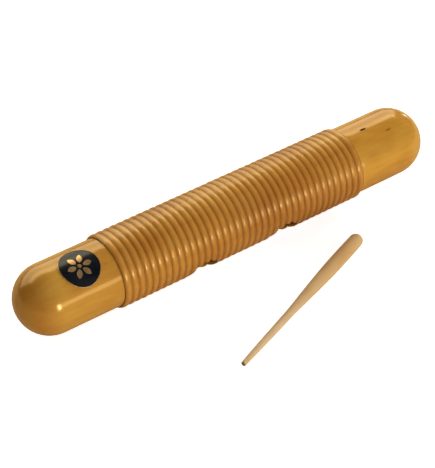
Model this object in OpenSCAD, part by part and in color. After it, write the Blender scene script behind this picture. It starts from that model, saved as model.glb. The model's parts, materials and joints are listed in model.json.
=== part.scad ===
// Tube guiro with its scraper, lying side by side on a flat surface.
// X runs along the guiro, with the badge end at -X; the finger holes face forward and down.
// Z = 0 is the surface both pieces rest on, and the origin is the middle of their footprint.

/* [Ribbed tube] */
// Diameter over the crests of the ribs
crest_d = 63; // [60:0.5:75]
// Number of turned ribs
rib_count = 38; // [30:1:44]
// Distance from one rib to the next
rib_pitch = 6.3; // [5.4:0.1:7]
// Height of a rib above the groove beside it
rib_height = 1.3; // [0.8:0.1:1.5]
// Diameter of the bore that makes the sound chamber
tube_bore = 50; // [44:1:52]

/* [Finger holes] */
// Diameter of the thumb hole and the finger hole
hole_d = 26; // [18:1:28]
// Distance between the centres of the two holes
hole_spacing = 81; // [70:1:110]
// How far the pair sits from the middle of the tube, towards the plain end
hole_shift = -1; // [-5:0.5:5]
// How far below level the holes look, in degrees
hole_dip = 41; // [0:0.5:60]

/* [End caps] */
// Diameter of the smooth barrel of each cap
cap_d = 58.5; // [56:0.5:59.5]
// Length of the straight barrel between the step and the dome
barrel_len = 50.8; // [45:0.1:70]
// Length of the spigot glued into the tube
spigot_len = 18; // [10:1:25]
// Diameter of the hollow inside a cap
cap_bore = 40; // [30:1:42]

/* [Badge] */
// Diameter of the badge, measured flat across
badge_d = 33.5; // [20:0.5:36]
// Thickness of the badge
badge_t = 0.6; // [0.4:0.1:1]
// Distance from the step of the cap to the middle of the badge
badge_inset = 28; // [20:0.5:30]
// How far above level the badge looks, in degrees
badge_rise = 70.5; // [40:0.5:90]

/* [Scraper] */
// Diameter of the handle end
handle_d = 12; // [10:0.1:14]
// Diameter where the handle's taper ends and the slim shaft starts
neck_d = 6.7; // [6:0.1:8]
// Diameter of the flat-cut tip
tip_d = 4; // [3:0.1:5]
// Length of the slim shaft, from the tip to the neck
shaft_len = 70; // [55:1:75]
// Length of the taper between the neck and the handle
taper_len = 62; // [50:1:70]
// Length of the handle with its round end
handle_len = 43; // [40:1:60]
// Angle between the scraper and the guiro, seen from above, in degrees
heading = 20; // [10:0.1:25]
// Place of the tip along the guiro, from the guiro's middle
tip_x = -75; // [-90:0.5:-60]
// Distance of the tip in front of the guiro's axis
tip_front = 122.7; // [115:0.1:140]

/* [Hidden] */
$fn = 120;

crest_r = crest_d / 2;
groove_r = crest_r - rib_height;
bore_r = tube_bore / 2;
tube_len = rib_count * rib_pitch;
step_x = tube_len / 2;
// Radius of the arc that is one rib wide at the grooves and rib_height tall
rib_arc_r = (pow(rib_pitch / 2, 2) + pow(rib_height, 2)) / (2 * rib_height);

cap_r = cap_d / 2;
cap_bore_r = cap_bore / 2;

hole_r = hole_d / 2;
cut_margin = 1;

badge_x = -step_x - badge_inset;

tip_r = tip_d / 2;
neck_r = neck_d / 2;
handle_r = handle_d / 2;
scraper_len = shaft_len + taper_len + handle_len;
// The scraper rests on its tip and on the start of its handle
handle_start = shaft_len + taper_len;
scraper_tilt = atan((handle_r - tip_r) / handle_start);

// The footprint runs from the foremost edge of the tip to the back of the tube
footprint_front = tip_front + tip_r * cos(heading);
axis_y = (footprint_front - crest_r) / 2;
tip_y = axis_y - tip_front;

module on_axis() {
    translate([0, axis_y, crest_r]) children();
}

// Turns a profile drawn with its radius on X and its length on Y into a solid along X
module turned() {
    rotate([90, 0, 90]) rotate_extrude() children();
}

module rib_circles() {
    for (i = [0 : rib_count - 1])
        translate([crest_r - rib_arc_r, (i + 0.5) * rib_pitch - step_x]) circle(r = rib_arc_r);
}

module tube_profile() {
    intersection() {
        union() {
            translate([bore_r, -step_x]) square([groove_r - bore_r, tube_len]);
            rib_circles();
        }
        translate([bore_r, -step_x]) square([crest_r, tube_len]);
    }
}

// A round cutter of radius r looking out from the axis, turned down by dip degrees
module radial_cutter(x, r, dip, from, to) {
    translate([x, 0, 0]) rotate([90 + dip, 0, 0]) translate([0, 0, from]) cylinder(r = r, h = to - from);
}

module ribbed_tube() {
    color("#a9692f") on_axis() difference() {
        turned() tube_profile();
        for (side = [-1, 1])
            radial_cutter(hole_shift + side * hole_spacing / 2, hole_r, hole_dip,
                          cut_margin, crest_r + cut_margin);
    }
}

// Half profile of a cap, with its spigot at negative lengths and its dome at the far end
module cap_profile() {
    difference() {
        union() {
            translate([0, -spigot_len]) square([bore_r, spigot_len + cut_margin]);
            square([cap_r, barrel_len]);
            intersection() {
                translate([0, barrel_len]) circle(r = cap_r);
                square([cap_r, barrel_len + cap_r]);
            }
        }
        translate([0, -spigot_len - cut_margin]) square([cap_bore_r, spigot_len + cut_margin + barrel_len]);
        intersection() {
            translate([0, barrel_len]) circle(r = cap_bore_r);
            square([cap_bore_r, barrel_len + cap_bore_r]);
        }
    }
}

module end_cap() {
    translate([step_x, 0, 0]) turned() cap_profile();
}

module left_end_cap() {
    color("#c08a3c") on_axis() mirror([1, 0, 0]) end_cap();
}

module right_end_cap() {
    color("#c9952f") on_axis() end_cap();
}

// A disc bent round the barrel, cut from a thin sleeve
module badge() {
    color("#1b1d1c") on_axis() intersection() {
        translate([badge_x - badge_d, 0, 0]) turned()
            translate([cap_r, 0]) square([badge_t, 2 * badge_d]);
        radial_cutter(badge_x, badge_d / 2, -badge_rise, cut_margin, crest_r + cut_margin);
    }
}

module scraper_profile() {
    polygon([
        [0, 0],
        [tip_r, 0],
        [neck_r, shaft_len],
        [handle_r, handle_start],
        [handle_r, scraper_len - handle_r],
        [0, scraper_len - handle_r]
    ]);
    intersection() {
        translate([0, scraper_len - handle_r]) circle(r = handle_r);
        translate([0, handle_start]) square([handle_r, handle_len]);
    }
}

module scraper() {
    color("#d3a468") translate([tip_x, tip_y, tip_r * cos(scraper_tilt)])
        rotate([0, 0, heading]) rotate([0, -scraper_tilt, 0]) turned() scraper_profile();
}

ribbed_tube();
left_end_cap();
right_end_cap();
badge();
scraper();
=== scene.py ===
import json
import math
import random

import bpy
import numpy as np
from mathutils import Matrix, Vector


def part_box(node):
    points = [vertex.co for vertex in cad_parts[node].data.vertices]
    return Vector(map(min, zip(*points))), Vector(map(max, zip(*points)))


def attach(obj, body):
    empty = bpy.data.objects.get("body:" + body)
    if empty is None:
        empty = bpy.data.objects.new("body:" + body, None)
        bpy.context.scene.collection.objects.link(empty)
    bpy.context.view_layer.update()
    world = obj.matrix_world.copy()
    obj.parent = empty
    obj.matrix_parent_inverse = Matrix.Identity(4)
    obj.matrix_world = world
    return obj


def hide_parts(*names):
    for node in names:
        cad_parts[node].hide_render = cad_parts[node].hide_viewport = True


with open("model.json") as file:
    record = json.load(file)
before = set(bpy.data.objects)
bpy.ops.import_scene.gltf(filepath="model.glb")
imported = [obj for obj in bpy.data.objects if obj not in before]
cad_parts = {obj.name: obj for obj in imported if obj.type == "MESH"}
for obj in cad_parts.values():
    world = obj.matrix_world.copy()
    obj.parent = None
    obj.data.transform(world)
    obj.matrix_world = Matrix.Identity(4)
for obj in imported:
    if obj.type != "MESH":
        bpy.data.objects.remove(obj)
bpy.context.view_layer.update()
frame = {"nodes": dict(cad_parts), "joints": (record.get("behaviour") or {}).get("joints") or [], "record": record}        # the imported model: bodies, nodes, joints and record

MM = 0.001
TINY = 0.01 * MM


# ---------------------------------------------------------------- sizes read from the frame

def node_points(node):
    """The different vertices of a CAD node, one row each."""
    points = [vertex.co for vertex in frame["nodes"][node].data.vertices]
    return np.unique(np.round(np.array(points), 7), axis=0)


def radii_about_x(points, centre):
    """Distances of points from a line along X through centre."""
    return np.hypot(points[:, 1] - centre.y, points[:, 2] - centre.z)


tube_low, tube_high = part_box("ribbed_tube")
AXIS = (tube_low + tube_high) / 2
STEP = tube_high.x
CREST_R = (tube_high.z - tube_low.z) / 2
tube_points = node_points("ribbed_tube")
tube_radii = radii_about_x(tube_points, AXIS)
BORE_R = tube_radii.min()
GROOVE_R = tube_radii[tube_points[:, 0] > STEP - TINY].max()

cap_low, cap_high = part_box("right_end_cap")
CAP_R = (cap_high.z - cap_low.z) / 2
BARREL = cap_high.x - CAP_R - STEP
SPIGOT = STEP - cap_low.x
cap_points = node_points("right_end_cap")
CAP_BORE_R = radii_about_x(cap_points, AXIS)[cap_points[:, 0] < cap_low.x + TINY].min()

badge_low, badge_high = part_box("badge")
BADGE_R = (badge_high.x - badge_low.x) / 2
BADGE_X = (badge_high.x + badge_low.x) / 2
badge_points = node_points("badge")
BADGE_T = radii_about_x(badge_points, AXIS).max() - CAP_R
badge_middle = Vector(badge_points.mean(axis=0)) - AXIS
BADGE_OUT = Vector((0, badge_middle.y, badge_middle.z)).normalized()

HOLES = [mount for mount in frame["record"]["mounts"] if mount["kind"] == "bore"]
HOLE_R = HOLES[0]["dims"]["r_mm"] * MM
HOLE_OUT = Vector(HOLES[0]["axis"])
HOLE_SIDE = Vector((1, 0, 0)).cross(HOLE_OUT)

handle_centre = Vector(frame["joints"][0]["pos_m"])
scraper_points = node_points("scraper")
reach = np.linalg.norm(scraper_points - np.array(handle_centre), axis=1)
tip_ring = scraper_points[reach > reach.max() - TINY]
SCRAPER_TIP = Vector(tip_ring.mean(axis=0))
SCRAPER_TO = (handle_centre - SCRAPER_TIP).normalized()
TIP_R = float(np.linalg.norm(tip_ring - np.array(SCRAPER_TIP), axis=1).max())
scraper_along = (scraper_points - np.array(SCRAPER_TIP)) @ np.array(SCRAPER_TO)
scraper_radii = np.linalg.norm(
    scraper_points - np.array(SCRAPER_TIP) - np.outer(scraper_along, SCRAPER_TO), axis=1)
HANDLE_R = float(scraper_radii.max())
SCRAPER_LEN = float(scraper_along.max())
HANDLE_START = float(scraper_along[scraper_radii > HANDLE_R - TINY].min())
# The neck is the ring that lies deepest below a straight line from the tip to the handle
taper = (scraper_along > MM) & (scraper_along < HANDLE_START - MM)
tip_to_handle = np.interp(scraper_along, [0, HANDLE_START], [TIP_R, HANDLE_R])
hollowest = np.where(taper, tip_to_handle - scraper_radii, 0).argmax()
NECK = float(scraper_along[hollowest])
NECK_R = float(scraper_radii[hollowest])


# ---------------------------------------------------------------- mesh helpers

SHARP_ABOVE = math.radians(50)


class Shape:
    """Points and faces of one closed mesh."""

    def __init__(self):
        self.points = []
        self.faces = []

    def add(self, points):
        """Adds points and returns their numbers."""
        first = len(self.points)
        self.points.extend(map(tuple, points))
        return np.arange(first, len(self.points))

    def bridge(self, one, other):
        """Quads between two closed rings with the same number of points."""
        for a, b, c, d in zip(one, np.roll(one, -1), np.roll(other, -1), other):
            self.faces.append((int(a), int(b), int(c), int(d)))

    def close(self, ring, point):
        """Triangles from a ring to one point."""
        centre = int(self.add([point])[0])
        for a, b in zip(ring, np.roll(ring, -1)):
            self.faces.append((int(a), int(b), centre))

    def make(self, name):
        """The finished object, shaded smooth except where faces meet at a sharp angle."""
        mesh = bpy.data.meshes.new(name)
        mesh.from_pydata(self.points, [], self.faces)
        mesh.validate()
        face_outwards(mesh)
        mesh.shade_smooth()
        mesh.set_sharp_from_angle(angle=SHARP_ABOVE)
        piece = bpy.data.objects.new(name, mesh)
        bpy.context.scene.collection.objects.link(piece)
        return piece


def face_outwards(mesh):
    """Turns all faces of a closed mesh outwards, by the sign of its volume."""
    mesh.update()
    volume = sum(p.center.dot(p.normal) * p.area for p in mesh.polygons)
    if volume < 0:
        mesh.flip_normals()


def turned_shape(profile, segments, centre, side=1):
    """A solid turned about a line along X: the profile is (length, radius) from axis to axis."""
    shape = Shape()
    angles = np.linspace(0, 2 * math.pi, segments, endpoint=False)
    previous = None
    first_pole, last_pole = profile[0], profile[-1]
    for length, radius in profile[1:-1]:
        ring = shape.add(np.stack([
            np.full(segments, centre.x + side * length),
            centre.y + radius * np.cos(angles),
            centre.z + radius * np.sin(angles)], axis=1))
        if previous is None:
            shape.close(ring[::-1], (centre.x + side * first_pole[0], centre.y, centre.z))
        else:
            shape.bridge(previous, ring)
        previous = ring
    shape.close(previous, (centre.x + side * last_pole[0], centre.y, centre.z))
    return shape


def arc(centre, radius, start, end, steps):
    """Points (length, radius) on an arc, with angles in degrees from the length axis."""
    turns = np.radians(np.linspace(start, end, steps))
    return [(centre[0] + radius * math.cos(t), centre[1] + radius * math.sin(t)) for t in turns]


def straight_run(start, end, radius, steps):
    """Points (length, radius) within a straight stretch, without its two ends."""
    return [(x, radius) for x in np.linspace(start, end, steps)[1:-1]]


# ---------------------------------------------------------------- ribbed tube

RIB_COUNT = 38          # as in the CAD
PITCH = 2 * STEP / RIB_COUNT
RIB_HEIGHT = CREST_R - GROOVE_R
RIB_ARC = ((PITCH / 2) ** 2 + RIB_HEIGHT ** 2) / (2 * RIB_HEIGHT)
# Where a rib has its rings, as shares of its width: closer together beside the grooves
RIB_SAMPLES = (0, 0.035, 0.10, 0.20, 0.35, 0.50, 0.65, 0.80, 0.90, 0.965)
GROOVE_ROUND = 0.25 * MM
RIB_UNEVEN = 0.10 * MM
RIM_ROUND = 0.8 * MM
INNER_RIM_ROUND = 0.8 * MM
# The skin is left open over a patch round each hole, which rings from the hole then fill
PATCH_REACH = 20 * MM
PATCH_ANGLE = math.radians(44)
PATCH_STEPS = 58
OTHER_STEPS = 90
PATCH_RINGS = 24
GROOVE_CATCH = 0.22 * MM
CATCH_FADE = 3          # the catch fades over the last third of the way to the rim
QUARTERS = (0.25, 0.5, 0.75, 1)
OUTER_RIM_TURNS = np.radians([15, 30, 45, 60, 75, 90])
INNER_RIM_TURNS = np.radians([30, 60, 90])

rib_rng = random.Random(38)
rib_loss = np.array([rib_rng.uniform(0, RIB_UNEVEN) for _ in range(RIB_COUNT)])


def rib_radius(x):
    """Outer radius of the tube at the places x along it: an arc for each rib, round grooves between."""
    place = np.clip((x + STEP) / PITCH, 0, RIB_COUNT - 1e-6)
    index = place.astype(int)
    to_groove = np.minimum(place - index, index + 1 - place) * PITCH
    rounded = np.hypot(to_groove, GROOVE_ROUND) - GROOVE_ROUND
    rounded *= (PITCH / 2) / (math.hypot(PITCH / 2, GROOVE_ROUND) - GROOVE_ROUND)
    height = np.sqrt(RIB_ARC ** 2 - (PITCH / 2 - rounded) ** 2) - (RIB_ARC - RIB_HEIGHT)
    return GROOVE_R + height * (1 - rib_loss[index] / RIB_HEIGHT)


def tube_point(x, out, side):
    """Points at x along the tube, out towards the holes and side across them."""
    return np.stack([
        x,
        AXIS.y + out * HOLE_OUT.y + side * HOLE_SIDE.y,
        AXIS.z + out * HOLE_OUT.z + side * HOLE_SIDE.z], axis=-1)


def skin(shape, xs, angles, radii, patches):
    """A round skin over the lines xs and angles, left open over the patches (ranges of xs)."""
    open_point = np.zeros((len(xs), len(angles)), bool)
    open_cell = np.zeros((len(xs) - 1, len(angles)), bool)
    for first, last in patches:
        open_point[first + 1:last, 1:PATCH_STEPS] = True
        open_cell[first:last, :PATCH_STEPS] = True
    numbers = np.full(open_point.shape, -1)
    grid_x, grid_angle = np.meshgrid(xs, angles, indexing="ij")
    grid_r = np.broadcast_to(np.reshape(radii, (-1, 1)), grid_x.shape)
    points = tube_point(grid_x, grid_r * np.cos(grid_angle), grid_r * np.sin(grid_angle))
    numbers[~open_point] = shape.add(points[~open_point])
    following = np.roll(numbers, -1, axis=1)
    for i, j in zip(*np.nonzero(~open_cell)):
        shape.faces.append((int(numbers[i, j]), int(numbers[i + 1, j]),
                            int(following[i + 1, j]), int(following[i, j])))
    return numbers


def patch_edge(first, last):
    """The grid places round a patch, in order."""
    there = [(i, 0) for i in range(first, last)]
    up = [(last, j) for j in range(PATCH_STEPS)]
    back = [(i, PATCH_STEPS) for i in range(last, first, -1)]
    down = [(first, j) for j in range(PATCH_STEPS, 0, -1)]
    return np.array(there + up + back + down)


def to_groove_line(x, catch):
    """Moves places that are within catch of a groove onto it, so that the groove stays crisp."""
    nearest = np.round((x + STEP) / PITCH) * PITCH - STEP
    return np.where(np.abs(x - nearest) < catch, nearest, x)


def hole_rings(centre_x, edge_x, edge_angle):
    """Rings of points from the outer patch edge, over the rim, down the hole and to the inner edge."""
    edge_side = CREST_R * np.sin(edge_angle)
    turn = np.arctan2(edge_side, edge_x - centre_x)

    def on_circle(radius):
        return centre_x + radius * np.cos(turn), radius * np.sin(turn)

    # Over the ribs, from the edge of the patch to the rim
    rim_x, rim_side = on_circle(HOLE_R + RIM_ROUND)
    rim_side = rim_side * CREST_R / rib_radius(rim_x)
    for t in np.linspace(1, 0, PATCH_RINGS + 1)[1:]:
        x = to_groove_line(rim_x + t * (edge_x - rim_x), GROOVE_CATCH * min(1, CATCH_FADE * t))
        sine = (rim_side + t * (edge_side - rim_side)) / CREST_R
        yield tube_point(x, rib_radius(x) * np.sqrt(1 - sine ** 2), rib_radius(x) * sine)

    # Over the outer rim
    for u in OUTER_RIM_TURNS:
        x, side = on_circle(HOLE_R + RIM_ROUND * (1 - math.sin(u)))
        out = np.sqrt(rib_radius(x) ** 2 - side ** 2) - RIM_ROUND * (1 - math.cos(u))
        yield tube_point(x, out, side)

    # Down the wall of the hole
    x, side = on_circle(HOLE_R)
    top = np.sqrt(rib_radius(x) ** 2 - side ** 2) - RIM_ROUND
    bottom = np.sqrt(BORE_R ** 2 - side ** 2) + INNER_RIM_ROUND
    for t in QUARTERS:
        yield tube_point(x, top + t * (bottom - top), side)

    # Over the inner rim
    for u in INNER_RIM_TURNS:
        x, side = on_circle(HOLE_R + INNER_RIM_ROUND * (1 - math.cos(u)))
        out = np.sqrt(BORE_R ** 2 - side ** 2) + INNER_RIM_ROUND * (1 - math.sin(u))
        yield tube_point(x, out, side)

    # Along the bore, from the inner rim to the edge of the patch
    rim_x, rim_side = on_circle(HOLE_R + INNER_RIM_ROUND)
    rim_side = rim_side * CREST_R / BORE_R
    for t in QUARTERS[:-1]:
        sine = (rim_side + t * (edge_side - rim_side)) / CREST_R
        x = rim_x + t * (edge_x - rim_x)
        yield tube_point(x, BORE_R * np.sqrt(1 - sine ** 2), BORE_R * sine)


def build_tube():
    """The hollow tube with its turned ribs and its two holes with rounded rims."""
    shape = Shape()
    xs = np.array([(i + s) * PITCH - STEP for i in range(RIB_COUNT) for s in RIB_SAMPLES] + [STEP])
    patch_angles = np.linspace(-PATCH_ANGLE, PATCH_ANGLE, PATCH_STEPS + 1)
    other_angles = np.linspace(PATCH_ANGLE, 2 * math.pi - PATCH_ANGLE, OTHER_STEPS + 1)
    angles = np.concatenate([patch_angles, other_angles[1:-1]])
    patches = []
    for hole in HOLES:
        from_hole = np.abs(xs - hole["pos_m"][0])
        inside = np.nonzero(from_hole < PATCH_REACH)[0]
        patches.append((inside[0], inside[-1]))
    # The plain bore needs rows only at every second groove and beside the holes
    near_hole = [i for first, last in patches for i in range(first, last + 1)]
    inner_rows = sorted(set(near_hole) | set(range(0, len(xs), 2 * len(RIB_SAMPLES))))
    inner_patches = [(inner_rows.index(first), inner_rows.index(last)) for first, last in patches]
    outer = skin(shape, xs, angles, rib_radius(xs), patches)
    inner = skin(shape, xs[inner_rows], angles, np.full(len(inner_rows), BORE_R), inner_patches)
    shape.bridge(outer[0], inner[0])
    shape.bridge(inner[-1], outer[-1])
    for hole, patch, inner_patch in zip(HOLES, patches, inner_patches):
        edge = patch_edge(*patch)
        previous = outer[edge[:, 0], edge[:, 1]]
        rings = hole_rings(hole["pos_m"][0], xs[edge[:, 0]], angles[edge[:, 1]])
        for points in rings:
            ring = shape.add(points)
            shape.bridge(previous, ring)
            previous = ring
        inner_edge = patch_edge(*inner_patch)
        shape.bridge(previous, inner[inner_edge[:, 0], inner_edge[:, 1]])
    return shape.make("turned_tube")


# ---------------------------------------------------------------- end caps

CAP_SEGMENTS = 160
STEP_ROUND = 0.5 * MM
SPIGOT_CHAMFER = 1.0 * MM
BARREL_STEPS = 12
HOLLOW_STEPS = 8
# Arcs of the profile: first and last angle in degrees, and the number of points
DOME_ARC = (2, 90, 45)
STEP_ARC = (90, 180, 5)
HOLLOW_ARC = (90, 4, 24)


def build_cap(name, side):
    """A domed end with its hollow and its spigot; side is 1 for the right one and -1 for the left."""
    profile = [(BARREL + CAP_R, 0)]
    profile += arc((BARREL, 0), CAP_R, *DOME_ARC)
    profile += straight_run(BARREL, STEP_ROUND, CAP_R, BARREL_STEPS)
    profile += arc((STEP_ROUND, CAP_R - STEP_ROUND), STEP_ROUND, *STEP_ARC)
    profile += [(0, BORE_R), (SPIGOT_CHAMFER - SPIGOT, BORE_R)]
    profile += [(-SPIGOT, BORE_R - SPIGOT_CHAMFER), (-SPIGOT, CAP_BORE_R)]
    profile += straight_run(-SPIGOT, BARREL, CAP_BORE_R, HOLLOW_STEPS)
    profile += arc((BARREL, 0), CAP_BORE_R, *HOLLOW_ARC)
    profile += [(BARREL + CAP_BORE_R, 0)]
    centre = Vector((side * STEP, AXIS.y, AXIS.z))
    return turned_shape(profile, CAP_SEGMENTS, centre, side).make(name)


def on_cap(from_step, rise):
    """A place on the right barrel: mm from the step, and degrees above level on the front."""
    rise = math.radians(rise)
    return (STEP + from_step * MM, AXIS.y - CAP_R * math.cos(rise), AXIS.z + CAP_R * math.sin(rise))


# ---------------------------------------------------------------- badge

BADGE_SEGMENTS = 144
DISC_FALL = 0.25
DISC_TOP = np.linspace(0.08, 1, 14)
DISC_BACK = np.linspace(1, 0.08, 10)
RIM_WIDTH = 0.55 * MM
RIM_HEIGHT = 0.75 * MM
RIM_SIDES = 12
EMBLEM_LIFT = 0.10 * MM
# The rosette, as shares of the badge's radius
PETALS = 6
PETAL_NEAR = 0.17
PETAL_FAR = 0.64
PETAL_HALF_WIDTH = 0.135
PETAL_BLUNT = 0.8
CENTRE_RADIUS = 0.10
# Where the strips of the rosette have their points, as shares of their length and half width
PETAL_ROWS = np.linspace(0.03, 0.97, 15)
CENTRE_ROWS = np.linspace(-0.98, 0.98, 9)
ROW_POINTS = np.linspace(-1, 1, 7)


def on_barrel(along, across, height):
    """Points on the left barrel: along X and across from the badge's middle, height above the wood."""
    across_out = Vector((1, 0, 0)).cross(BADGE_OUT)
    lean = np.arcsin(np.asarray(across) / CAP_R)
    radius = CAP_R + np.asarray(height)
    return np.stack([
        BADGE_X + np.asarray(along),
        AXIS.y + radius * (np.cos(lean) * BADGE_OUT.y + np.sin(lean) * across_out.y),
        AXIS.z + radius * (np.cos(lean) * BADGE_OUT.z + np.sin(lean) * across_out.z)], axis=-1)


def disc_height(radius):
    """Height of the domed disc over the barrel, at a distance from its middle."""
    return BADGE_T * (1 - DISC_FALL * (radius / BADGE_R) ** 2)


def build_badge_disc():
    """The thin domed disc, bent to the barrel."""
    shape = Shape()
    turns = np.linspace(0, 2 * math.pi, BADGE_SEGMENTS, endpoint=False)
    edge = BADGE_R - RIM_WIDTH / 2
    profile = [(edge * t, disc_height(edge * t)) for t in DISC_TOP]
    profile += [(edge * t, 0) for t in DISC_BACK]
    previous = None
    for radius, height in profile:
        ring = shape.add(on_barrel(radius * np.cos(turns), radius * np.sin(turns), height))
        if previous is None:
            shape.close(ring[::-1], on_barrel(0, 0, disc_height(0)))
        else:
            shape.bridge(previous, ring)
        previous = ring
    shape.close(previous, on_barrel(0, 0, 0))
    return shape.make("badge_disc")


def build_badge_rim():
    """The thin raised rim round the disc."""
    shape = Shape()
    turns = np.linspace(0, 2 * math.pi, BADGE_SEGMENTS, endpoint=False)
    middle = BADGE_R - RIM_WIDTH / 2
    rings = []
    for u in np.linspace(0, 2 * math.pi, RIM_SIDES, endpoint=False):
        radius = middle + RIM_WIDTH / 2 * math.cos(u)
        height = RIM_HEIGHT / 2 * (1 + math.sin(u))
        rings.append(shape.add(on_barrel(radius * np.cos(turns), radius * np.sin(turns), height)))
    for one, other in zip(rings, rings[1:] + rings[:1]):
        shape.bridge(one, other)
    return shape.make("badge_rim")


def add_relief(shape, rows):
    """A thin raised strip on the disc: rows of (along, across) points as shares of its radius."""
    top, bottom = [], []
    for row in rows:
        along, across = np.array(row).T * BADGE_R
        height = disc_height(np.hypot(along, across))
        top.append(shape.add(on_barrel(along, across, height + EMBLEM_LIFT)))
        bottom.append(shape.add(on_barrel(along, across, height - EMBLEM_LIFT)))
    for one, other, low, lower in zip(top, top[1:], bottom, bottom[1:]):
        for k in range(len(one) - 1):
            shape.faces.append((int(one[k]), int(one[k + 1]), int(other[k + 1]), int(other[k])))
            shape.faces.append((int(low[k]), int(lower[k]), int(lower[k + 1]), int(low[k + 1])))
        for k, turn in ((0, 1), (len(one) - 1, -1)):
            wall = (int(one[k]), int(other[k]), int(lower[k]), int(low[k]))
            shape.faces.append(wall[::turn])
    for one, low, turn in ((top[0], bottom[0], -1), (top[-1], bottom[-1], 1)):
        for k in range(len(one) - 1):
            wall = (int(one[k]), int(one[k + 1]), int(low[k + 1]), int(low[k]))
            shape.faces.append(wall[::turn])


def petal_rows(turn):
    """One pointed petal that looks out from the disc's middle, as rows across it."""
    rows = []
    for t in PETAL_ROWS:
        middle = PETAL_NEAR + t * (PETAL_FAR - PETAL_NEAR)
        half = PETAL_HALF_WIDTH * math.sin(math.pi * t) ** PETAL_BLUNT
        row = [(middle, half * w) for w in ROW_POINTS]
        rows.append([(x * math.cos(turn) - y * math.sin(turn),
                      x * math.sin(turn) + y * math.cos(turn)) for x, y in row])
    return rows


def centre_rows():
    """The round middle of the rosette, as rows across it."""
    rows = []
    for t in CENTRE_ROWS:
        half = math.sqrt(1 - t * t)
        rows.append([(CENTRE_RADIUS * t, CENTRE_RADIUS * half * w) for w in ROW_POINTS])
    return rows


def build_emblem():
    """A plain rosette of petals round a dot."""
    shape = Shape()
    add_relief(shape, centre_rows())
    for k in range(PETALS):
        add_relief(shape, petal_rows(2 * math.pi * k / PETALS))
    return shape.make("badge_rosette")


# ---------------------------------------------------------------- scraper

SCRAPER_SEGMENTS = 64
TIP_ROUND = 0.3 * MM
TIP_ARC = (180, 90, 4)
SHAFT_FROM = 2 * MM
SCRAPER_STEPS = 70
SHAFT_POWER = 0.60
BELLY_AT = 0.90
BELLY_FALL = 4.0
END_TURNS = np.radians(np.linspace(86, 3, 22))


def scraper_radius(length):
    """Radius of the stick: a slim shaft, a smooth taper into the handle, and a slight belly."""
    shaft = TIP_R + (NECK_R - TIP_R) * min(length / NECK, 1) ** SHAFT_POWER
    along = min(max((length - NECK) / (HANDLE_START - NECK), 0), 1)
    swell = (along + math.sin(math.pi / 2 * along)) / 2
    past_belly = max(length / SCRAPER_LEN - BELLY_AT, 0)
    return shaft + (HANDLE_R - NECK_R) * swell - HANDLE_R * BELLY_FALL * past_belly ** 2


def build_scraper():
    """The turned stick in its own frame: X runs from the middle of its flat tip to its round end."""
    end_middle = SCRAPER_LEN - HANDLE_R
    profile = [(0, 0), (0, (TIP_R - TIP_ROUND) / 2)]
    profile += arc((TIP_ROUND, TIP_R - TIP_ROUND), TIP_ROUND, *TIP_ARC)
    profile += [(x, scraper_radius(x)) for x in np.linspace(SHAFT_FROM, end_middle, SCRAPER_STEPS)]
    last_r = profile[-1][1]
    for turn in END_TURNS:
        profile.append((end_middle + HANDLE_R * math.cos(turn), last_r * math.sin(turn)))
    profile.append((SCRAPER_LEN, 0))
    piece = turned_shape(profile, SCRAPER_SEGMENTS, Vector((0, 0, 0))).make("turned_scraper")
    across = Vector((0, 0, 1)).cross(SCRAPER_TO).normalized()
    up = SCRAPER_TO.cross(across)
    turn = Matrix((SCRAPER_TO, across, up)).transposed()
    piece.matrix_world = Matrix.Translation(SCRAPER_TIP) @ turn.to_4x4()
    return piece


# ---------------------------------------------------------------- materials

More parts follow.
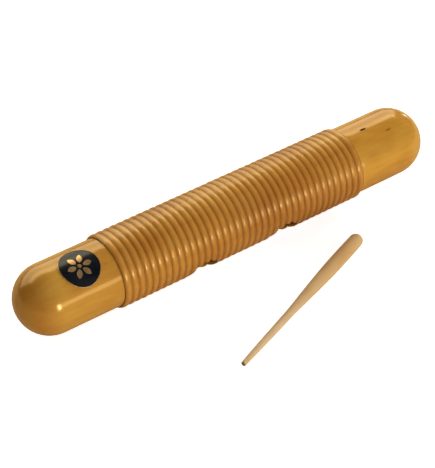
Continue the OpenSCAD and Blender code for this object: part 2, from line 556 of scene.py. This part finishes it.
class Nodes:
    """A short way to write a material's node tree."""

    def __init__(self, name):
        self.material = bpy.data.materials.new(name)
        self.material.use_nodes = True
        self.tree = self.material.node_tree
        self.shader = self.tree.nodes["Principled BSDF"]
        self.place = self.add("ShaderNodeTexCoord").outputs["Object"]

    def add(self, kind, inputs=(), **settings):
        """A new node with its settings and inputs; an input is a value or another node's output."""
        node = self.tree.nodes.new(kind)
        for key, value in settings.items():
            setattr(node, key, value)
        for key, value in dict(inputs).items():
            self.feed(node, key, value)
        return node

    def feed(self, node, key, value):
        """Sets one input of a node, by a value or by a link."""
        socket = node.inputs[key]
        if isinstance(value, bpy.types.NodeSocket):
            self.tree.links.new(value, socket)
        else:
            socket.default_value = value

    def math(self, operation, *values):
        """A Math node's result."""
        return self.add("ShaderNodeMath", enumerate(values), operation=operation).outputs[0]

    def vector(self, operation, *values, output=0):
        """A Vector Math node's result."""
        return self.add("ShaderNodeVectorMath", enumerate(values), operation=operation).outputs[output]

    def length(self, value):
        """The length of a vector."""
        return self.vector("LENGTH", value, output="Value")

    def span(self, value, start, end, first, last, kind="LINEAR"):
        """A value between start and end, carried over to between first and last."""
        inputs = {"Value": value, "From Min": start, "From Max": end, "To Min": first, "To Max": last}
        return self.add("ShaderNodeMapRange", inputs, interpolation_type=kind).outputs[0]

    def noise(self, where, scale=1.0, detail=2.0, roughness=0.5, output="Fac"):
        """Noise from 0 to 1 at where."""
        inputs = {"Vector": where, "Scale": scale, "Detail": detail, "Roughness": roughness}
        return self.add("ShaderNodeTexNoise", inputs).outputs[output]

    def stretched(self, where, scale, shift=(0, 0, 0)):
        """Where, moved by shift and then scaled on each axis."""
        inputs = {"Vector": where, "Location": shift, "Scale": scale}
        return self.add("ShaderNodeMapping", inputs).outputs[0]

    def ramp(self, value, stops):
        """A colour ramp of (place, colour) stops."""
        node = self.add("ShaderNodeValToRGB", {"Fac": value})
        elements = node.color_ramp.elements
        while len(elements) < len(stops):
            elements.new(0.5)
        for element, (place, colour) in zip(elements, stops):
            element.position = place
            element.color = (*colour, 1)
        return node.outputs[0]

    def opaque(self, colour):
        """A colour with its alpha, or another node's output as it is."""
        return colour if isinstance(colour, bpy.types.NodeSocket) else (*colour, 1)

    def mix(self, share, one, other, blend="MIX"):
        """Two colours mixed; for colours, the Mix node has inputs 0, 6 and 7, and output 2."""
        inputs = {0: share, 6: self.opaque(one), 7: self.opaque(other)}
        return self.add("ShaderNodeMix", inputs, data_type="RGBA", blend_type=blend).outputs[2]

    def bump(self, height, strength, distance, normal=None):
        """A bump from a height, on top of another if given."""
        inputs = {"Height": height, "Strength": strength, "Distance": distance}
        if normal is not None:
            inputs["Normal"] = normal
        return self.add("ShaderNodeBump", inputs).outputs[0]

    def finish(self, **inputs):
        """Sets the shader's inputs, with _ for a space in a name."""
        for key, value in inputs.items():
            self.feed(self.shader, key.replace("_", " "), value)
        return self.material


# How fine each pattern of the wood is, along X and across it, per metre
WANDER_SCALE = (15, 30, 30)
STREAK_SCALE = (7, 85, 85)
FIBRE_SCALE = (22, 520, 520)
BLOTCH_SCALE = (20, 34, 34)
RIPPLE_SCALE = (55, 190, 190)
PORE_SCALE = (110, 1300, 1300)
WAVE_SCALE = (18, 40, 40)
WANDER = (10 * MM, 16 * MM, 16 * MM)

RING_WIDTH = 4.6 * MM
RING_TONES = [(0.0, (0.3,) * 3), (0.35, (0.4,) * 3), (0.8, (1,) * 3), (1.0, (0.3,) * 3)]
RING_SHARE = 0.18
STREAK_SHARE = 0.75
FIBRE_SHARE = 0.22
GRAIN_LEVEL = 0.08
BUMP_STRENGTH = 0.22
WAVE_HEIGHT = 0.35 * MM
FIBRE_HEIGHT = 0.03 * MM
ROUGH_SPREAD = 0.08
BLOTCH_TONES = [(0.32, (0.88, 0.80, 0.72)), (0.5, (1, 1, 1)), (0.68, (1.06, 1.12, 1.2))]
PORE_CUT = [(0.70, (0, 0, 0)), (0.78, (1, 1, 1))]
PORE_SHARE = 0.22
PORE_TONE = 0.45
# The colour of the grain marks and of the painted shade on the scraper's tip
MARK_AND_SHADE_COLOUR = (0.06, 0.022, 0.006)
# The share of a mark or a patch, from its middle, that has its full strength
MARK_CORE = 0.55
PATCH_CORE = 0.2

# Painted shade on the tube: dark in the bore and holes, darker in the grooves, a little painted light on
# the crests
INSIDE_SHADE_BELOW = 28.4 * MM
INSIDE_SHADE_TONE = 0.25
GROOVE_SHADE_TONE = 0.64
CREST_LIGHT_TONE = 1.06
GROOVE_SHEEN = 0.33
# Painted shade on a dome and inside its hollow, where ends is given
DOME_SHADE_R = 0.80 * CAP_R
DOME_SHADE_TONE = (0.95, 0.72, 0.85)


def from_middle(n, middle, half_length, half_width):
    """Distance from the middle of a lens along X, which is 1 at the lens's edge."""
    scale = (1 / half_length, 1 / half_width, 1 / half_width)
    shift = tuple(-m * k for m, k in zip(middle, scale))
    return n.length(n.stretched(n.place, scale, shift))


def grain_marks_and_painted_shade(n, colour, marks):
    """A colour with a few dark marks, each a lens, and the marked share: slim grain marks along the
    grain, and painted shade over the scraper's flat tip.
    """
    marked = 0.0
    for middle, half_length, half_width, depth in marks:
        far = from_middle(n, middle, half_length, half_width)
        mark = n.ramp(far, [(MARK_CORE, (depth,) * 3), (1.0, (0, 0, 0))])
        colour = n.mix(mark, colour, MARK_AND_SHADE_COLOUR)
        marked = n.math("MAXIMUM", mark, marked)
    return colour, marked


def soft_patches(n, colour, patches):
    """A colour with a few broad soft areas of another tone: painted light and shade on the tube, and a
    paler tip and a warmer end on the scraper.
    """
    for middle, half_length, half_width, tone in patches:
        far = from_middle(n, middle, half_length, half_width)
        share = n.span(far, 1, PATCH_CORE, 0, 1, "SMOOTHSTEP")
        colour = n.mix(share, colour, tone, "MULTIPLY")
    return colour


def from_axis(n):
    """Distance from the guiro's axis."""
    return n.length(n.stretched(n.place, (0, 1, 1), (0, -AXIS.y, -AXIS.z)))


def painted_relief_shade(n):
    """Painted shade by distance from the tube's axis: dark inside the bore and the holes, darker in the
    grooves, and a little painted light on the crests.
    """
    radius = from_axis(n)
    inside = n.span(radius, INSIDE_SHADE_BELOW, GROOVE_R - RIM_ROUND, INSIDE_SHADE_TONE, GROOVE_SHADE_TONE)
    outside = n.span(radius, GROOVE_R, CREST_R, 0, CREST_LIGHT_TONE - GROOVE_SHADE_TONE)
    return n.math("ADD", inside, outside)


def groove_sheen(n):
    """Share of the sheen: the polish reaches the crests of the ribs more than the grooves."""
    return n.span(from_axis(n), GROOVE_R, CREST_R, GROOVE_SHEEN, 1)


def dome_shade(n, colour, tone, share):
    """A colour that goes over to a darker tone on a dome and inside its hollow: painted shade."""
    shade_share = n.span(from_axis(n), CAP_R, DOME_SHADE_R, 0, share)
    return n.mix(shade_share, colour, tone)


def wandering(n, straight):
    """Places moved a little, so that the grain isn't dead straight."""
    bend = n.noise(n.stretched(straight, WANDER_SCALE), output="Color")
    bend = n.vector("MULTIPLY", n.vector("SUBTRACT", bend, (0.5, 0.5, 0.5)), WANDER)
    return n.vector("ADD", straight, bend)


def growth_rings(n, bent):
    """Growth rings round the pith, which lies on the X axis."""
    from_pith = n.length(n.vector("MULTIPLY", bent, (0, 1, 1)))
    return n.ramp(n.math("FRACT", n.math("MULTIPLY", from_pith, 1 / RING_WIDTH)), RING_TONES)


def centred(n, noise, share):
    """A share of a noise, around zero."""
    return n.math("MULTIPLY", n.math("SUBTRACT", noise, 0.5), share)


def grain_colour(n, straight, fibre, light, dark, figure):
    """The wood's colour, between light and dark: rings, streaks, fibres, ripples, blotches and pores."""
    bent = wandering(n, straight)
    streak = n.noise(n.stretched(bent, STREAK_SCALE), detail=3.0, roughness=0.55)
    blotch = n.noise(n.stretched(bent, BLOTCH_SCALE))
    ripple = n.noise(n.stretched(bent, RIPPLE_SCALE))
    pore = n.ramp(n.noise(n.stretched(straight, PORE_SCALE), detail=1.0), PORE_CUT)

    grain = n.math("MULTIPLY_ADD", growth_rings(n, bent), RING_SHARE,
                   n.math("MULTIPLY", streak, STREAK_SHARE))
    grain = n.math("ADD", grain, centred(n, fibre, FIBRE_SHARE))
    grain = n.math("ADD", grain, centred(n, ripple, figure))
    grain = n.math("SUBTRACT", grain, GRAIN_LEVEL)
    colour = n.mix(grain, light, dark)
    colour = n.mix(1.0, colour, n.ramp(blotch, BLOTCH_TONES), "MULTIPLY")
    return n.mix(n.math("MULTIPLY", pore, PORE_SHARE), colour, tuple(c * PORE_TONE for c in dark))


def surface_waves(n, straight, fibre):
    """The normal of turned wood: faint long waves, and fibres that stand up a little."""
    wave = n.noise(n.stretched(straight, WAVE_SCALE), detail=1.0)
    waves = n.bump(wave, BUMP_STRENGTH, WAVE_HEIGHT)
    return n.bump(fibre, BUMP_STRENGTH, FIBRE_HEIGHT, waves)


def wood(name, light, dark, pith, seed, lacquer,
         figure=0.0, ribbed=False, ends=0.0, marks=(), patches=()):
    """Turned hardwood with its grain along X.

    light and dark are linear colours, pith is where the tree's middle lies (y, z), seed picks a place
    along the tree, lacquer holds the shader values of the finish, figure is the strength of the wavy
    figure across the grain, ribbed paints shade into the tube's grooves, bore and holes and light onto
    its crests and lowers the sheen in the grooves, ends is how far the domes and their hollows go over
    to a darker painted shade, and marks and patches are lists of lenses: grain marks and painted shade
    on the scraper's tip, painted light and shade on the tube and tones on the scraper."""
    n = Nodes(name)
    straight = n.stretched(n.place, (1, 1, 1), (seed, -pith[0], -pith[1]))
    fibre = n.noise(n.stretched(straight, FIBRE_SCALE), detail=3.0, roughness=0.6)
    colour = grain_colour(n, straight, fibre, light, dark, figure)
    # Painted shade in the grooves, bore and holes, and painted light on the crests
    if ribbed:
        colour = n.add("ShaderNodeVectorMath", {0: colour, "Scale": painted_relief_shade(n)},
                       operation="SCALE").outputs[0]
    # Painted shade on the dome and inside its hollow
    if ends:
        colour = dome_shade(n, colour, tuple(c * t for c, t in zip(dark, DOME_SHADE_TONE)), ends)
    # Patches of painted light and shade, or of tone; marks of grain, or painted shade on the scraper's
    # tip
    colour = soft_patches(n, colour, patches)
    colour, marked = grain_marks_and_painted_shade(n, colour, marks)

    specular, coat = lacquer["specular"], lacquer["coat"]
    if ribbed or marks:
        sheen = groove_sheen(n) if ribbed else 1.0
        sheen = n.math("SUBTRACT", sheen, marked)
        specular = n.math("MULTIPLY", sheen, specular)
        coat = n.math("MULTIPLY", sheen, coat)
    rough = n.math("MULTIPLY_ADD", fibre, ROUGH_SPREAD, lacquer["rough"] - ROUGH_SPREAD / 2)
    return n.finish(Base_Color=colour, Roughness=rough, Normal=surface_waves(n, straight, fibre),
                    Specular_IOR_Level=specular, Specular_Tint=lacquer["tint"],
                    Coat_Weight=coat, Coat_Roughness=lacquer["coat_rough"],
                    Coat_IOR=lacquer["coat_ior"])


ENAMEL_TONES = [(0.3, (0.005, 0.006, 0.009)), (0.7, (0.011, 0.013, 0.017))]
ENAMEL_ROUGH = 0.20
FLECK_ROUGH = 0.08
GOLD_TONES = [(0.3, (0.60, 0.34, 0.12)), (0.7, (0.80, 0.52, 0.24))]
GOLD_ROUGH = 0.25
GRAIN_ROUGH = 0.15


def badge_black():
    """Glossy black enamel with very fine flecks and faint polishing marks."""
    n = Nodes("badge_black_enamel")
    fleck = n.noise(n.place, scale=900)
    cloud = n.noise(n.place, scale=90)
    rough = n.math("MULTIPLY_ADD", fleck, FLECK_ROUGH, ENAMEL_ROUGH)
    return n.finish(Base_Color=n.ramp(cloud, ENAMEL_TONES), Roughness=rough,
                    Normal=n.bump(cloud, strength=0.25, distance=0.1 * MM),
                    Specular_IOR_Level=0.25, Coat_Weight=0.15, Coat_Roughness=0.06)


def badge_gold():
    """Satin printed gold with a fine grain."""
    n = Nodes("badge_gold")
    grain = n.noise(n.place, scale=1500)
    tone = n.noise(n.place, scale=160)
    rough = n.math("MULTIPLY_ADD", grain, GRAIN_ROUGH, GOLD_ROUGH)
    return n.finish(Base_Color=n.ramp(tone, GOLD_TONES), Roughness=rough, Metallic=0.75,
                    Normal=n.bump(grain, strength=0.3, distance=0.02 * MM))


def studio_floor():
    """A plain pale floor; it glows to the camera only, and looks whiter than the light it gives back."""
    n = Nodes("studio_floor")
    tone = n.noise(n.place, scale=3)
    seen = n.add("ShaderNodeLightPath").outputs["Is Camera Ray"]
    colour = n.mix(seen, FLOOR_BOUNCE, n.ramp(tone, FLOOR_TONES))
    return n.finish(Base_Color=colour, Roughness=0.9, Specular_IOR_Level=0.0,
                    Emission_Color=(1, 1, 1, 1), Emission_Strength=n.math("MULTIPLY", seen, FLOOR_GLOW))


# ---------------------------------------------------------------- stage, light and camera

CAMERA_AZIMUTH = math.radians(-36.10)
CAMERA_ELEVATION = math.radians(39.95)
CAMERA_AIM = Vector((1.8 * MM, AXIS.y + 16.1 * MM, 0))
CAMERA_DISTANCE = 1.4362
CAMERA_LENS = 132.26

FLOOR_SIZE = 12
FLOOR_THICK = 0.02
FLOOR_TONES = [(0.3, (0.88,) * 3), (0.7, (0.90,) * 3)]
FLOOR_GLOW = 0.80
FLOOR_BOUNCE = (0.74, 0.62, 0.38)
WORLD_LIGHT = 0.03
LIGHT_DISTANCE = 1.6
WHITE = (1, 1, 1)
WARM = (1.0, 0.90, 0.66)
BOTH = (True, True)
SHADING = (True, False)
SHEEN = (False, True)
LIGHTS = [
    # name, degrees from the front towards +X, degrees above level, width and height (m), radiance,
    # colour, and whether it lights surfaces and shows in reflections
    ("key", -8.6, 7.9, 0.30, 0.34, 44, WHITE, SHADING),
    ("key_glint", -8.6, 7.9, 0.09, 0.34, 92, WHITE, SHEEN),
    ("front_band", 13, 8, 1.05, 0.36, 3.5, WARM, SHEEN),
    ("front_right", 34, 26, 1.0, 0.9, 2.4, WHITE, SHADING),
    ("right_fill", 104, 32, 1.2, 1.0, 2.5, WHITE, SHADING),
    ("right_glint", 114, 2, 0.12, 0.30, 5.0, WHITE, SHEEN),
    ("back_strip", 170, 49, 2.7, 0.46, 3.2, WARM, BOTH),
    ("backdrop", 172, 25, 3.2, 1.00, 1.8, WARM, BOTH),
]


def towards(azimuth, elevation):
    """The unit vector at an angle from the front (-Y) towards +X, and at an angle above level."""
    return (math.sin(azimuth) * math.cos(elevation),
            -math.cos(azimuth) * math.cos(elevation),
            math.sin(elevation))


def softbox(name, azimuth, elevation, width, height, radiance, colour, effect):
    """A rectangular softbox that faces the middle of the guiro."""
    light = bpy.data.lights.new(name, "AREA")
    light.shape = "RECTANGLE"
    light.color = colour
    light.size = width
    light.size_y = height
    light.energy = radiance * math.pi * width * height
    lamp = bpy.data.objects.new(name, light)
    bpy.context.scene.collection.objects.link(lamp)
    direction = Vector(towards(math.radians(azimuth), math.radians(elevation)))
    lamp.location = AXIS + direction * LIGHT_DISTANCE
    lamp.rotation_mode = "QUATERNION"
    lamp.rotation_quaternion = direction.to_track_quat("Z", "Y")
    lamp.visible_camera = False
    lamp.visible_diffuse, lamp.visible_glossy = effect


def build_floor():
    """The floor, a large square with a slight thickness."""
    shape = Shape()
    half = FLOOR_SIZE / 2
    corners = [(-half, -half), (half, -half), (half, half), (-half, half)]
    top = shape.add([(x, y, 0) for x, y in corners])
    bottom = shape.add([(x, y, -FLOOR_THICK) for x, y in corners])
    shape.bridge(top, bottom)
    shape.faces.append(tuple(int(i) for i in top[::-1]))
    shape.faces.append(tuple(int(i) for i in bottom))
    floor = shape.make("floor")
    floor.data.materials.append(studio_floor())


def build_world():
    """White all round, and dimmer as a light than it looks behind the object."""
    world = bpy.data.worlds.new("studio")
    bpy.context.scene.world = world
    world.use_nodes = True
    tree = world.node_tree
    ambient = tree.nodes["Background"]
    ambient.inputs["Color"].default_value = (*WHITE, 1)
    ambient.inputs["Strength"].default_value = WORLD_LIGHT
    seen = tree.nodes.new("ShaderNodeBackground")
    seen.inputs["Color"].default_value = (*WHITE, 1)
    seen.inputs["Strength"].default_value = 1.0
    path = tree.nodes.new("ShaderNodeLightPath")
    mix = tree.nodes.new("ShaderNodeMixShader")
    tree.links.new(path.outputs["Is Camera Ray"], mix.inputs[0])
    tree.links.new(ambient.outputs[0], mix.inputs[1])
    tree.links.new(seen.outputs[0], mix.inputs[2])
    tree.links.new(mix.outputs[0], tree.nodes["World Output"].inputs["Surface"])


def build_camera():
    """The camera, at the viewing angle of a product picture taken from the front left and above."""
    data = bpy.data.cameras.new("camera")
    data.lens = CAMERA_LENS
    camera = bpy.data.objects.new("camera", data)
    bpy.context.scene.collection.objects.link(camera)
    back = Vector(towards(CAMERA_AZIMUTH, CAMERA_ELEVATION))
    camera.location = CAMERA_AIM + back * CAMERA_DISTANCE
    camera.rotation_mode = "QUATERNION"
    camera.rotation_quaternion = (-back).to_track_quat("-Z", "Y")
    bpy.context.scene.camera = camera


# ---------------------------------------------------------------- putting it together

GOLDEN = (1.0, 0.72, 0.26, 1)
GLOSS = {"rough": 0.19, "specular": 0.85, "tint": GOLDEN,
         "coat": 0.28, "coat_rough": 0.05, "coat_ior": 1.45}
SATIN = {"rough": 0.30, "specular": 1.0, "tint": GOLDEN,
         "coat": 0.42, "coat_rough": 0.03, "coat_ior": 1.45}
BARE = {"rough": 0.60, "specular": 0.25, "tint": (1, 1, 1, 1),
        "coat": 0.0, "coat_rough": 0.3, "coat_ior": 1.4}
# Grain marks, and painted shade on the scraper's tip: middle, half length, half width, depth
CAP_MARKS = [
    (on_cap(19, 83), 4.4 * MM, 1.4 * MM, 1.0),
    (on_cap(39, 63), 3.4 * MM, 1.1 * MM, 0.6),
]
# Painted shade over the scraper's flat tip
SCRAPER_TIP_SHADE = [((0, 0, 0), 0.7 * MM, 3.0 * MM, 0.7)]
# Soft patches: middle, half length, half width, tone; on the tube, painted light and shade
RIB_LIGHT_AND_SHADE_PATCHES = [
    # Painted sheen along the top of the tube, paler and bluer
    ((0, AXIS.y - 2 * MM, AXIS.z + CREST_R), 400 * MM, 15 * MM, (1.24, 1.38, 1.55)),
    # Painted shade on the lower front of the right half
    ((54 * MM, AXIS.y - CREST_R, AXIS.z - 3 * MM), 100 * MM, 34 * MM, (0.79, 0.70, 0.73)),
    # A darker patch on the upper front near the middle
    ((8 * MM, AXIS.y - 26 * MM, AXIS.z + 16 * MM), 34 * MM, 26 * MM, (0.85, 0.76, 0.82)),
]
SCRAPER_PATCHES = [
    ((0, 0, 0), 140 * MM, 140 * MM, (1.06, 1.10, 1.28)),
    ((SCRAPER_LEN, 0, 0), 110 * MM, 110 * MM, (1.02, 0.96, 0.86)),
]


def show(piece, material, body, node=None):
    """Gives a piece its material, lets it ride on a body, and hides the CAD part that it stands for."""
    piece.data.materials.append(material)
    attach(piece, body)
    if node:
        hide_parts(node)


rib_wood = wood(
    "rib_wood", light=(0.63, 0.280, 0.048), dark=(0.45, 0.166, 0.023),
    pith=(AXIS.y + 30 * MM, AXIS.z - 55 * MM), seed=0.31, lacquer=SATIN,
    figure=0.15, ribbed=True, patches=RIB_LIGHT_AND_SHADE_PATCHES)
# ends darkens the left dome and its hollow with painted shade
left_wood = wood(
    "left_cap_wood", light=(0.66, 0.332, 0.051), dark=(0.48, 0.208, 0.027),
    pith=(AXIS.y - 60 * MM, AXIS.z - 30 * MM), seed=1.70, lacquer=GLOSS,
    figure=0.15, ends=0.45)
right_wood = wood(
    "right_cap_wood", light=(0.68, 0.335, 0.046), dark=(0.50, 0.218, 0.025),
    pith=(AXIS.y + 20 * MM, AXIS.z + 60 * MM), seed=2.90, lacquer=GLOSS,
    figure=0.90, marks=CAP_MARKS)
scraper_wood = wood(
    "scraper_wood", light=(0.72, 0.50, 0.25), dark=(0.58, 0.36, 0.15),
    pith=(20 * MM, -12 * MM), seed=4.10, lacquer=BARE,
    marks=SCRAPER_TIP_SHADE, patches=SCRAPER_PATCHES)
black = badge_black()
gold = badge_gold()

show(build_tube(), rib_wood, "guiro", "ribbed_tube")
show(build_cap("turned_left_end", -1), left_wood, "guiro", "left_end_cap")
show(build_cap("turned_right_end", 1), right_wood, "guiro", "right_end_cap")
show(build_badge_disc(), black, "guiro", "badge")
show(build_badge_rim(), gold, "guiro")
show(build_emblem(), gold, "guiro")
show(build_scraper(), scraper_wood, "scraper", "scraper")

build_floor()
build_world()
for light in LIGHTS:
    softbox(*light)
build_camera()
bpy.context.scene.view_settings.view_transform = "Standard"
